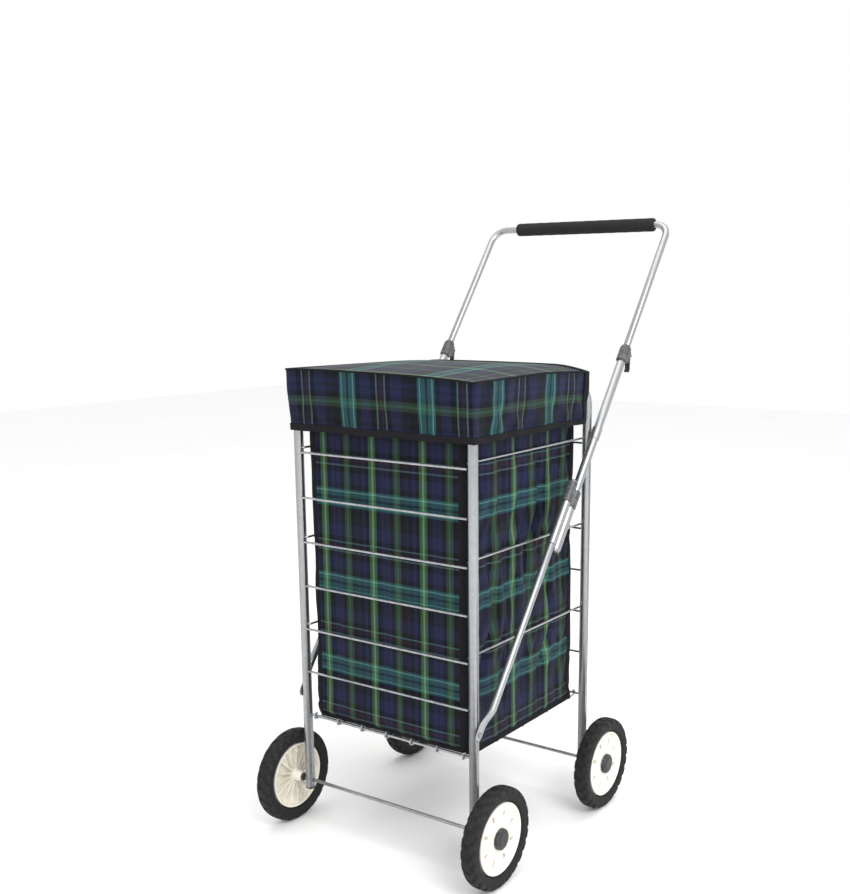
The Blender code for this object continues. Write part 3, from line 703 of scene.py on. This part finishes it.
def grip():
    """A foam roll with rounded ends, a little uneven where hands press it."""
    low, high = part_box("grip")
    at, length = middle_of("grip"), high[0] - low[0]
    radius, bore, end, rings, squeeze = 0.0125, 0.0066, 0.0032, 36, 0.00018
    profile = [(bore, 0), (radius - end, 0), (radius - 0.3 * end, 0.3 * end)]
    for number in range(rings + 1):
        s = end + (length - 2 * end) * number / rings
        profile.append((radius - squeeze * (1 + math.sin(number * 1.9)), s))
    profile += [(radius - 0.3 * end, length - 0.3 * end), (radius - end, length), (bore, length)]
    piece = lathe("grip_foam_roll", profile, Vector((low[0], at.y, at.z)), X, 48)
    smooth(piece, 50)
    return finished(piece, FOAM, "handle_upper", ["grip"])


def clamp(side_name, side):
    """A moulded housing with a rounded top over the end of the lower tube, and cheeks for its lever."""
    low, high, radius = 0.149, 0.181, 0.0102
    wide_bore, narrow_bore, tube_stop = 0.0078, 0.0067, 0.1664
    profile = [(wide_bore, low), (radius - 0.0012, low), (radius, low + 0.0012), (radius, high - 0.0060),
               (radius - 0.0008, high - 0.0030), (radius - 0.0030, high), (narrow_bore, high),
               (narrow_bore, tube_stop), (wide_bore, tube_stop)]
    shell = lathe(f"clamp_{side_name}_moulding", profile, on_handle(side, 0), ALONG, 36)
    back = block(on_handle(side, 0.1650, -0.0105), (0.0150, 0.0085, 0.0200), LEANING)
    open_up(back)
    # The housing deepens towards the hinge
    pick(back, "VERT", lambda v: (v.co - on_handle(side, 0)).dot(ALONG) > 0.170
         and (v.co - on_handle(side, 0)).dot(UPWARD) < -0.0120)
    bpy.ops.transform.translate(value=tuple(0.0030 * UPWARD))
    close_up()
    cut(back, rod(on_handle(side, 0.165), ALONG, 0.05, TUBE_RADIUS + 0.0012, 32))
    cut(back, block(on_handle(side, 0.1640, -0.0150), (0.0102, 0.0080, 0.0300), LEANING))
    soften_edges(back, 0.0006)
    ribs = [block(on_handle(side, 0.1640, 0.0098, out), (0.0012, 0.0014, 0.0180), LEANING)
            for out in (-0.0024, 0.0024)]
    for rib in ribs:
        soften_edges(rib, 0.0004, 1)
    piece = join([shell, back] + ribs)
    smooth(piece, 40)
    finished(piece, GREY_PLASTIC, "handle_lower", [f"clamp_{side_name}"])


def clamp_lever(side_name, side):
    """A cam on a pin, with a tapered thumb tab that stands off the tube."""
    hinge = on_handle(side, 0.170, -0.0140)
    cam = rod(hinge, X, 0.0094, 0.0037, 28)
    pin = rod(hinge, X, 0.0156, 0.0015, 16)
    soften_edges(cam, 0.0004)
    tab = block(hinge - 0.0125 * ALONG - 0.0035 * UPWARD, (0.0094, 0.0030, 0.0240), LEANING)
    open_up(tab)
    bpy.ops.mesh.select_all(action="SELECT")
    bpy.ops.mesh.subdivide(number_cuts=3)
    # It curves out more towards its tip
    for beyond, push in ((0.006, 0.0026), (0.012, 0.0036), (0.018, 0.0046)):
        pick(tab, "VERT", lambda v: (v.co - hinge).dot(ALONG) < -beyond)
        bpy.ops.transform.translate(value=tuple(-push * UPWARD))
    close_up()
    soften_edges(tab, 0.0008, 2, 50)
    piece = join([cam, pin, tab])
    piece.name = piece.data.name = f"clamp_lever_{side_name}_moulding"
    smooth(piece, 45)
    finished(piece, BLACK_PLASTIC, f"lever_{side_name}", [f"clamp_lever_{side_name}"])


def handle():
    """Both sides of the push bar, each with its sleeve, guide, pivot, strut and clamp, then the bar."""
    for side_name, side in SIDES.items():
        piece = double_barrel(
            f"sleeve_{side_name}_barrels", side, -0.226, -0.147, 0.0090, 0.0078, -0.222, -0.143)
        finished(piece, SILVER, "handle_lower", [f"sleeve_{side_name}"])
        piece = double_barrel(
            f"guide_{side_name}_moulding", side, -0.1455, -0.114, 0.0098, 0.0086, -0.1425, -0.106)
        finished(piece, GREY_PLASTIC, "handle_lower", [f"guide_{side_name}"])
        polished("handle_tube_" + side_name, SILVER, 0.0002)
        ring = pipe(f"handle_collar_{side_name}_ring", on_handle(side, -0.011), ALONG, 0.022,
                    TUBE_RADIUS + SLIDE_FIT, TUBE_RADIUS + 0.0011, 0.0006)
        boss_profile = [(0, 0), (0.0066, 0), (0.0066, 0.0030), (0.0056, 0.0062), (0.0056, 0.0090), (0, 0.0090)]
        boss = lathe("boss", boss_profile, PIVOT + side * (LEG_X + LEG_RADIUS + 0.0004) * X, side * X, 28)
        cut(boss, rod(on_handle(side, 0), ALONG, 0.05, TUBE_RADIUS + SLIDE_FIT, 32))
        ring = join([ring, boss])
        smooth(ring)
        finished(ring, SILVER, "handle_lower", ["handle_collar_" + side_name])
        polished("strut_" + side_name, SILVER)
        polished("strut_rivet_" + side_name, STEEL)
        clamp(side_name, side)
        clamp_lever(side_name, side)
        plug_profile = [(0, -0.0032), (0.0058, -0.0032), (0.0072, -0.0022), (0.0075, -0.0004),
                        (0.0062, -0.0003), (0.0062, 0.006), (0, 0.006)]
        end = lathe(f"tube_end_plug_{side_name}", plug_profile, on_handle(side, -0.229), ALONG, 28)
        smooth(end)
        finished(end, BLACK_PLASTIC, "handle_lower")
    polished("handle_upper", SILVER)
    grip()


# ---------------------------------------------------------------- cage

def cage():
    """The two hoops with their wires, the links between them, the floor and its board."""
    for node_name in ("front_hoop", "rear_hoop"):
        polished(node_name, SILVER)
    for end in ("front", "rear"):
        for number in range(1, 7):
            polished(f"{end}_wire_{number}", WIRE)
        polished(f"{end}_base_wire", WIRE)
        polished(f"{end}_axle", STEEL, 0.0003)
    for side_name in SIDES:
        for number in range(1, 4):
            polished(f"side_wire_{side_name}_{number}", WIRE)
    polished("base_grid", WIRE)
    polished("bag_base_board", BOARD, 0.0005)
    leg_plugs()


def leg_plugs():
    """Black plugs in the feet of the hoops."""
    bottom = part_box("front_hoop")[0][2]
    profile = [(0, -0.0022), (0.0066, -0.0022), (0.0080, -0.0012), (0.0083, -0.0002), (0.0068, -0.0002),
               (0.0068, 0.0060), (0, 0.0060)]
    for end, y, body in (("front", FRONT_Y, "front_frame"), ("rear", REAR_Y, "rear_frame")):
        for side_name, side in SIDES.items():
            piece = lathe(f"leg_plug_{end}_{side_name}", profile, (side * LEG_X, y, bottom), Z, 32)
            smooth(piece)
            finished(piece, BLACK_PLASTIC, body)


# ---------------------------------------------------------------- cloth

def walk_square(distance, half, corner):
    """The place and the outward way at a distance round a square with rounded corners. The walk
    starts in the middle of the back and goes left, front, right."""
    ways = [(Y, -X), (-X, -Y), (-Y, X), (X, Y)]
    flat = half - corner
    stretch = 2 * flat + math.pi * corner / 2
    position = distance + flat
    out, along = ways[int(position // stretch) % 4]
    rest = position % stretch
    if rest <= 2 * flat:
        return out * half + along * (rest - flat), out
    angle = (rest - 2 * flat) / corner
    way = out * math.cos(angle) + along * math.sin(angle)
    return (out + along) * flat + way * corner, way


def map_in_metres(piece, width, height, shift=(0.0, 0.0)):
    """Scales the piece's map to metres of cloth. The shift says where the cloth's repeat starts."""
    for loop in piece.data.uv_layers.active.data:
        loop.uv = (loop.uv[0] * width + shift[0], loop.uv[1] * height + shift[1])


def settle_cloth(piece, cut_larger, pinned, most_out, most_in, outward_at):
    """Lets the cloth buckle and hang. cut_larger gives each point's place in the cloth as it was
    cut, pinned gives each point's hold from 0 to 1, and outward_at its outward way."""
    frames, stiffness = 24, 8.0
    start = [corner.co.copy() for corner in piece.data.vertices]
    group = piece.vertex_groups.new(name="sewn")
    for corner in piece.data.vertices:
        group.add([corner.index], pinned(corner.co), "REPLACE")
    piece.shape_key_add(name="as sewn")
    cut_key = piece.shape_key_add(name="as cut")
    for point, place_then in zip(cut_key.data, start):
        point.co = cut_larger(place_then)
    cloth = piece.modifiers.new("cloth", "CLOTH")
    settings = cloth.settings
    settings.quality = 7
    settings.mass = 0.25
    settings.tension_stiffness = settings.compression_stiffness = stiffness * 2
    settings.shear_stiffness = stiffness
    settings.bending_stiffness = 1.2
    settings.tension_damping = settings.compression_damping = 12.0
    settings.vertex_group_mass = "sewn"
    settings.pin_stiffness = 4.0
    settings.rest_shape_key = cut_key
    cloth.collision_settings.use_collision = cloth.collision_settings.use_self_collision = False
    cloth.point_cache.frame_start, cloth.point_cache.frame_end = 1, frames
    for frame_number in range(1, frames + 1):
        bpy.context.scene.frame_set(frame_number)
    graph = bpy.context.evaluated_depsgraph_get()
    hung = [corner.co.copy() for corner in piece.evaluated_get(graph).data.vertices]
    piece.modifiers.remove(cloth)
    take(piece)
    piece.shape_key_clear()
    bpy.context.scene.frame_set(1)
    for corner, was, now in zip(piece.data.vertices, start, hung):
        move = now - was
        out = outward_at(was)
        along_out = max(-most_in, min(most_out, move.dot(out)))
        sideways = move - move.dot(out) * out
        if sideways.length > most_in:
            sideways *= most_in / sideways.length
        corner.co = was + sideways + along_out * out


def thicken(piece, thickness, offset=-1):
    """Gives a sheet its wall: all of it inside at -1, all of it outside at 1."""
    wall = piece.modifiers.new("wall", "SOLIDIFY")
    wall.thickness = thickness
    wall.offset = offset
    apply_modifier(piece, wall)
    smooth(piece, 60)


def take_off(piece, kind, test):
    """A new piece, copied from the faces or edges that pass the test."""
    open_up(piece)
    pick(piece, kind, test)
    bpy.ops.mesh.duplicate()
    bpy.ops.mesh.separate(type="SELECTED")
    close_up()
    return next(o for o in bpy.context.selected_objects if o is not piece)


def tape_over(piece, name, test, thickness, body):
    """Binding tape: a copy of the chosen faces, thickened to wrap the cloth."""
    tape = take_off(piece, "FACE", test)
    tape.name = tape.data.name = name
    thicken(tape, thickness, 0.25)
    return finished(tape, TAPE, body)


def face_out(piece, outward):
    """Turns an open cloth's faces over where they look inwards."""
    if sum(face.normal.dot(outward(face.center)) * face.area for face in piece.data.polygons) < 0:
        open_up(piece)
        bpy.ops.mesh.select_all(action="SELECT")
        bpy.ops.mesh.flip_normals()
        close_up()


BAG_LOW, BAG_HIGH = (Vector(v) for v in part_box("bag"))
BAG_MIDDLE = (BAG_LOW + BAG_HIGH) / 2
BAG_HALF = (BAG_HIGH.x - BAG_LOW.x) / 2
BAG_CORNER = 0.013
# The cloth bellies forward, almost to the front wires
BAG_BELLY = 0.0085
# Where the tartan's repeat starts on the bag
BAG_PATTERN = (0.0071, 0.0527)
LID_LOW, LID_HIGH = (Vector(v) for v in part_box("lid"))


def bag():
    """A sewn shell, hung from its rim. It sags into soft upright folds, most of all on its sides."""
    half, height = BAG_HALF + 0.0020, BAG_HIGH.z - BAG_LOW.z
    girth = 8 * (half - BAG_CORNER) + 2 * math.pi * BAG_CORNER
    across, up = 176, 76
    bpy.ops.mesh.primitive_grid_add(x_subdivisions=across, y_subdivisions=up, size=1, calc_uvs=True)
    piece = newest("bag_cloth")
    map_in_metres(piece, girth, height, BAG_PATTERN)
    for corner in piece.data.vertices:
        spot, way = walk_square((corner.co.x + 0.5) * girth, half, BAG_CORNER)
        z = BAG_LOW.z + (corner.co.y + 0.5) * height
        side = abs(way.x) ** 2
        low_and_high = math.sin(math.pi * min(1.0, max(0.0, (z - BAG_LOW.z) / height)))
        slant = spot.y + 0.05 * (z - BAG_MIDDLE.z) + 0.012 * math.sin(11 * z)
        pucker = (side * (math.sin(slant * 118 + 1.5 * math.sin(7 * z))
                          + 0.5 * math.sin(slant * 205 - 12 * z))
                  + 0.35 * (1 - side) * math.sin(spot.x * 96 + 2.2 * math.sin(9 * z)))
        spot = spot + way * (0.0014 * pucker - 0.0012) * low_and_high ** 0.4
        corner.co = (spot.x, BAG_MIDDLE.y + spot.y, z)
        if spot.y < 0:
            corner.co.y -= BAG_BELLY * (-spot.y / half) ** 0.5 * min(1.0, (z - BAG_LOW.z) / 0.02)
    open_up(piece)
    bpy.ops.mesh.select_all(action="SELECT")
    bpy.ops.mesh.remove_doubles(threshold=0.00001)
    bpy.ops.mesh.normals_make_consistent(inside=False)
    close_up()
    face_out(piece, lambda spot: Vector((spot.x, spot.y - BAG_MIDDLE.y, 0)))

    def outward(point):
        flat = Vector((point.x, point.y - BAG_MIDDLE.y + (BAG_BELLY if point.y < BAG_MIDDLE.y else 0), 0))
        inner = half - BAG_CORNER
        core = Vector((max(-inner, min(inner, flat.x)), max(-inner, min(inner, flat.y)), 0))
        return (flat - core).normalized()

    def hold(point):
        top, bottom = BAG_HIGH.z - point.z, point.z - BAG_LOW.z
        edge = max(0.0, 1 - top / 0.012, 1 - bottom / 0.010)
        corner = abs(point.x) > half - 0.012 and abs(point.y - BAG_MIDDLE.y) > half - 0.006
        return min(1.0, max(edge, 0.25 if corner else 0.0))

    def as_cut(point):
        return Vector((point.x * 1.012, BAG_MIDDLE.y + (point.y - BAG_MIDDLE.y) * 1.06,
                       BAG_LOW.z + (point.z - BAG_LOW.z) * 1.006))

    settle_cloth(piece, as_cut, hold, 0.0022, 0.012, outward)

    # Deeper creases, pulled in: they run down and forward from the rim, mostly on the sides
    for corner in piece.data.vertices:
        spot, out = corner.co.copy(), outward(corner.co)
        share = (spot.z - BAG_LOW.z) / height
        free = max(0.0, math.sin(math.pi * min(1.0, max(0.0, share)))) ** 0.5
        side = abs(out.x) ** 1.5
        wander = 0.016 * math.sin(5.5 * share * math.pi + 9 * spot.y) * (1 if out.x > 0 else -0.6)
        slant = spot.y - 0.055 * share + wander
        crease = (max(0.0, math.sin(slant * 105 + 0.8)) ** 2
                  + 0.7 * max(0.0, math.sin(slant * 173 - 7 * share)) ** 3)
        front = (max(0.0, math.sin(spot.x * 61 + 2.4 * share + 1.1)) ** 4
                 + 0.6 * max(0.0, math.sin(spot.x * 97 - 3.1 * share)) ** 4)
        rear_pull = (0.0035 * max(0.0, math.sin(4.2 * math.pi * share + 0.9))
                     * max(0.0, spot.y - BAG_MIDDLE.y) / half)
        corner.co -= out * free * (side * (0.0052 * crease + rear_pull) + (1 - side) * 0.0020 * front)

    # The bottom is sewn shut
    open_up(piece)
    pick(piece, "EDGE", lambda e: e.is_boundary and all(v.co.z < BAG_LOW.z + 0.004 for v in e.verts))
    bpy.ops.mesh.edge_face_add()
    close_up()

    corner_reach = half - 0.0165

    def upright_seam(face):
        middle = face.calc_center_median()
        return (abs(middle.x) > corner_reach and abs(middle.y - BAG_MIDDLE.y) > corner_reach
                and abs(face.normal.z) < 0.7)

    tapes = [
        tape_over(piece, "bag_seam_tape", upright_seam, 0.0012, "rear_frame"),
        tape_over(piece, "bag_foot_tape", lambda f: f.calc_center_median().z < BAG_LOW.z + 0.008
                  and abs(f.normal.z) < 0.7, 0.0012, "rear_frame"),
        tape_over(piece, "bag_rim_tape", lambda f: f.calc_center_median().z > BAG_HIGH.z - 0.012
                  and abs(f.normal.z) < 0.7, 0.0030, "rear_frame")]
    thicken(piece, 0.0012)
    finished(piece, BAG_CLOTH, "rear_frame", ["bag"])
    for soft in [piece] + tapes:
        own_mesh(soft)


def lid():
    """A cap of cloth: a top panel, and one skirt round the front and both sides."""
    half = LID_HIGH.x - 0.0022
    back, front = LID_HIGH.y - 0.0006, LID_LOW.y + 0.0022
    top, bottom = LID_HIGH.z - 0.0022, LID_LOW.z
    depth, corner = back - front, 0.007
    sag_rear, lean_in, tape_width = 0.0085, 0.0052, 0.011

    def round_corner(x, y):
        """Moves a point in a square front corner on to the rounded one. Also gives its outward way."""
        gap_x, gap_y = abs(x) - (half - corner), (front + corner) - y
        if gap_x <= 0 or gap_y <= 0:
            return x, y, None
        length = math.hypot(gap_x, gap_y)
        if length > corner:
            x = math.copysign(half - corner + gap_x * corner / length, x)
            y = front + corner - gap_y * corner / length
        return x, y, Vector((math.copysign(gap_x, x), -gap_y, 0)).normalized()

    def top_height(x, y):
        """The panel rests on the hoops, sags a little between them and droops past their bends."""
        a = min(1.0, abs(x) / half)
        b = min(1.0, max(0.0, (y - front) / depth))
        crown = 0.0105 * math.sin(math.pi * (0.12 + 0.80 * b)) * (1 - a ** 3)
        rear_droop = sag_rear * max(0.0, (a - 0.66) / 0.34) ** 1.6 * max(0.0, (b - 0.55) / 0.45) ** 1.4
        tilt = 0.0035 * (1 - b) * (-x / half)
        ripple = 0.0011 * math.sin(38 * x + 21 * y) * math.sin(math.pi * b) * (1 - a)
        return top + 0.0010 + crown - rear_droop + tilt + ripple

    count = 64
    bpy.ops.mesh.primitive_grid_add(x_subdivisions=count, y_subdivisions=count, size=1, calc_uvs=True)
    panel = newest("lid_cloth")
    map_in_metres(panel, 2 * half, depth, (depth, 0.09))
    for point in panel.data.vertices:
        x, y, _ = round_corner(point.co.x * 2 * half, front + (point.co.y + 0.5) * depth)
        point.co = (x, y, top_height(x, y))

    girth = 2 * depth + 2 * half
    across, down = 168, 18
    bpy.ops.mesh.primitive_grid_add(x_subdivisions=across, y_subdivisions=down, size=1, calc_uvs=True)
    skirt = newest("lid_skirt")
    map_in_metres(skirt, girth, top - bottom)
    for point in skirt.data.vertices:
        distance = (point.co.x + 0.5) * girth
        share = 0.5 - point.co.y
        if distance < depth:
            x, y, out = -half, back - distance, -X
        elif distance < depth + 2 * half:
            x, y, out = -half + distance - depth, front, -Y
        else:
            x, y, out = half, front + distance - depth - 2 * half, X
        x, y, corner_out = round_corner(x, y)
        out = corner_out or out
        z_top = top_height(x, y)
        z = z_top + (bottom - z_top + 0.0007 * math.sin(distance * 47)) * share
        slack = 0.0030 if distance > depth + 2 * half or distance < depth else 0.0014
        slant = distance + 0.018 * math.sin(share * 5.1)
        fold = (slack * math.sin(slant * 92 + 1.3 * math.sin(slant * 31)) * share ** 0.7
                * min(1.0, (1.12 - share) / 0.3) + 0.0012 * math.sin(slant * 170) * share * (1 - share))
        point.co = Vector((x, y, z)) - out * (lean_in * share ** 1.5) + out * fold
    face_out(skirt, lambda spot: Vector((spot.x, spot.y - (front + back) / 2, 0)))
    face_out(panel, lambda spot: Z)

    # Piping: the skirt's top edge, turned into a cord
    piping = take_off(
        skirt, "EDGE", lambda e: e.is_boundary and all(v.co.z > top - 0.020 for v in e.verts)
        and abs(e.verts[0].co.z - e.verts[1].co.z) < 0.5 * e.calc_length())
    piece = join([panel, skirt])
    open_up(piping)
    bpy.ops.mesh.select_all(action="SELECT")
    bpy.ops.mesh.delete(type="ONLY_FACE")
    close_up()
    bpy.ops.object.convert(target="CURVE")
    piping = bpy.context.object
    piping.data.bevel_depth = 0.0016
    piping.data.bevel_resolution = 3
    piping.data.use_fill_caps = True
    bpy.ops.object.convert(target="MESH")
    piping = newest("lid_piping")
    smooth(piping, 60)
    edge_tapes = [
        finished(piping, TAPE, "lid"),
        tape_over(piece, "lid_hem_tape",
                  lambda f: abs(f.normal.z) < 0.6 and f.calc_center_median().z < bottom + 0.0105,
                  0.0028, "lid"),
        tape_over(piece, "lid_end_tape",
                  lambda f: abs(f.normal.z) < 0.6 and f.calc_center_median().y > back - tape_width
                  and abs(f.calc_center_median().x) > half - 0.02, 0.0030, "lid"),
        tape_over(piece, "lid_hinge_tape",
                  lambda f: f.normal.z > 0.6 and f.calc_center_median().y > back - tape_width, 0.0026, "lid")]

    # The strip that closes the back, down to the line the lid turns on
    bpy.ops.mesh.primitive_grid_add(x_subdivisions=48, y_subdivisions=3, size=1)
    strip = newest("lid_back_strip")
    low_edge = LID_HIGH.z - 0.0135
    for point in strip.data.vertices:
        x, share = point.co.x * 2 * half, point.co.y + 0.5
        point.co = (x, back + 0.0004, low_edge + (top_height(x, back) - low_edge) * share)
    face_out(strip, lambda spot: Y)
    thicken(strip, 0.0018)
    edge_tapes.append(finished(strip, TAPE, "lid"))
    thicken(piece, 0.0018)
    finished(piece, LID_CLOTH, "lid", ["lid"])
    for soft in [piece] + edge_tapes:
        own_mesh(soft)


# ---------------------------------------------------------------- stage

def stage():
    """A pale floor, white light all round with two soft boxes, and the view."""
    bpy.ops.mesh.primitive_plane_add(size=14, location=(0, 0, -0.0002))
    floor = newest("floor")
    material, tree, shader = finish_of("pale_floor", 0.9)
    grain = use(tree, GRAIN, {"Vector": place(tree), "Scale": 40.0})
    shade = mixed(tree, grain["Clouds"], colour(250, 250, 250), colour(246, 246, 246))
    tree.links.new(shade, shader["Base Color"])
    floor.data.materials.append(material)

    world = bpy.data.worlds.new("studio")
    world.use_nodes = True
    sky = world.node_tree.nodes["Background"]
    sky.inputs["Color"].default_value = (1, 1, 1, 1)
    sky.inputs["Strength"].default_value = 1.0
    bpy.context.scene.world = world
    bpy.context.scene.view_settings.view_transform = "Standard"

    def soft_box(name, spot, target, size, power):
        lamp = bpy.data.lights.new(name, "AREA")
        lamp.shape = "SQUARE"
        lamp.size = size
        lamp.energy = power
        obj = bpy.data.objects.new(name, lamp)
        obj.location = spot
        obj.rotation_euler = (Vector(target) - Vector(spot)).to_track_quat("-Z", "Y").to_euler()
        bpy.context.scene.collection.objects.link(obj)

    soft_box("key", (2.2, -1.2, 2.4), (0, 0, 0.5), 1.4, 55)
    soft_box("top", (0, 0, 3.2), (0, 0, 0.5), 2.4, 30)

    lens = bpy.data.cameras.new("view")
    lens.sensor_fit = "AUTO"
    lens.sensor_width = 36.0
    lens.lens = 45.625
    lens.shift_x, lens.shift_y = -0.04806, 0.0830
    lens.clip_end = 50
    camera = bpy.data.objects.new("view", lens)
    turn = Matrix.Identity(4)
    for degrees, axis in ((34.711, "Z"), (78.502, "X"), (-0.273, "Z")):
        turn = turn @ Matrix.Rotation(math.radians(degrees), 4, axis)
    camera.matrix_world = Matrix.Translation((1.1191, -1.65315, 0.9249)) @ turn
    bpy.context.scene.collection.objects.link(camera)
    bpy.context.scene.camera = camera


stage()
cage()
four_wheels()
handle()
bag()
lid()

let_go()
